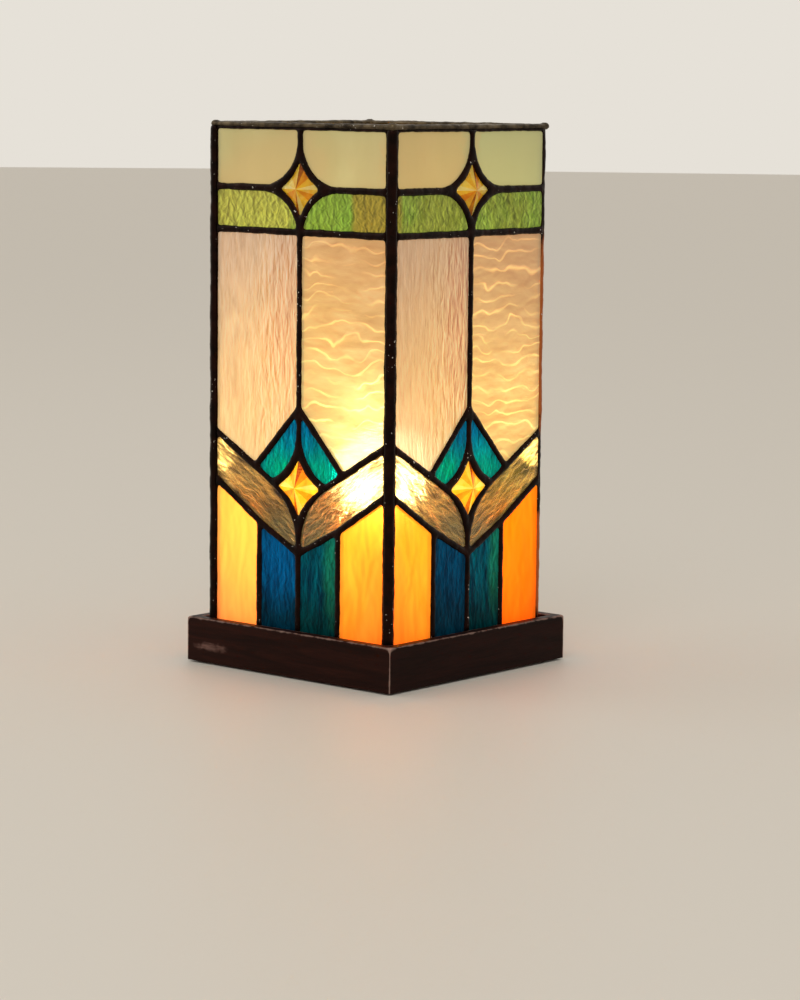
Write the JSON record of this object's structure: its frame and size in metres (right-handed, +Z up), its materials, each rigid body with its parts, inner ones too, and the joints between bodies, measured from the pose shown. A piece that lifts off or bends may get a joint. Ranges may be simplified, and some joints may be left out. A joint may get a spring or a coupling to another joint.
{
  "type": "accent lamp",
  "caption": "Square pillar accent lamp with soldered stained-glass panels and star jewels, open top, on a dark wooden tray base, lit by a screw-in lamp inside.",
  "frame": {"origin": "on the table, under the middle of the felt pad", "axes": "+Z up along the lamp, -Y towards the front panel, +Y towards the cord inlet"},
  "size_m": [0.14, 0.1414, 0.2819],
  "materials": {
    "lacquered_wood": "dark brown satin lacquer, rubbed at the edges",
    "deck_wood": "dark stained board",
    "plain_wood": "bare softwood",
    "hardboard": "hardboard",
    "felt": "black felt",
    "bushing_plastic": "black nylon",
    "zinc_steel": "zinc plated steel",
    "brass": "brass",
    "cap_brass": "pressed brass",
    "tinned_contact": "tinned",
    "phenolic": "moulded phenolic",
    "black_glass": "black glass",
    "frosted_glass": "frosted, lit",
    "mount_glass": "clear glass",
    "lead_wire": "nickel wire",
    "filament_metal": "tungsten, glowing",
    "solder": "black patina on solder",
    "cream_glass": "opal, lit",
    "green_glass": "mottled, lit",
    "amber_glass": "pressed and faceted, lit",
    "ripple_glass": "rippled, lit",
    "blue_glass": "streaky, lit",
    "clear_glass": "hammered, lit",
    "orange_glass": "opal, lit"
  },
  "bodies": {
    "lamp": {"back_band_panes": "clear_glass", "back_blue_panes": "blue_glass", "back_cream_panes": "cream_glass", "back_green_panes": "green_glass", "back_lattice": "solder", "back_orange_panes": "orange_glass", "back_star_jewels": "amber_glass", "back_tall_panes": "ripple_glass", "base_rails": "lacquered_wood", "bottom_cover": "hardboard", "centre_contact": "brass", "cord_bushing": "bushing_plastic", "corner_blocks": "plain_wood", "corner_seams": "solder", "cover_screws": "zinc_steel", "deck_board": "deck_wood", "felt_pad": "felt", "front_band_panes": "clear_glass", "front_blue_panes": "blue_glass", "front_cream_panes": "cream_glass", "front_green_panes": "green_glass", "front_lattice": "solder", "front_orange_panes": "orange_glass", "front_star_jewels": "amber_glass", "front_tall_panes": "ripple_glass", "holder_body": "phenolic", "left_band_panes": "clear_glass", "left_blue_panes": "blue_glass", "left_cream_panes": "cream_glass", "left_green_panes": "green_glass", "left_lattice": "solder", "left_orange_panes": "orange_glass", "left_star_jewels": "amber_glass", "left_tall_panes": "ripple_glass", "locknuts": "zinc_steel", "nipple": "brass", "right_band_panes": "clear_glass", "right_blue_panes": "blue_glass", "right_cream_panes": "cream_glass", "right_green_panes": "green_glass", "right_lattice": "solder", "right_orange_panes": "orange_glass", "right_star_jewels": "amber_glass", "right_tall_panes": "ripple_glass", "rim_strips": "solder", "screw_shell": "brass", "shade_tabs": "brass", "strap_bracket": "zinc_steel", "strap_screws": "zinc_steel", "tab_screws": "zinc_steel", "washers": "zinc_steel"},
    "bulb_foot": {"lamp_foot": "tinned_contact"},
    "bulb": {"lamp_insulator": "black_glass", "lamp_cap": "cap_brass", "lamp_globe": "frosted_glass", "lamp_mount": "mount_glass", "lamp_leads": "lead_wire", "filament": "filament_metal"}
  },
  "joints": [
    {"name": "bulb_rise", "type": "slide", "parent": "lamp", "child": "bulb_foot", "axis": [0, 0, 1], "range_m": [0, 0.0102]},
    {"name": "bulb_turn", "type": "hinge", "parent": "bulb_foot", "child": "bulb", "pos_m": [0, 0, 0.05], "axis": [0, 0, 1], "range_deg": [0, 1440]}
  ],
  "couplings": [
    {"joint": "bulb_rise", "follows": "bulb_turn", "m_per_rad": 0.00040425}
  ]
}
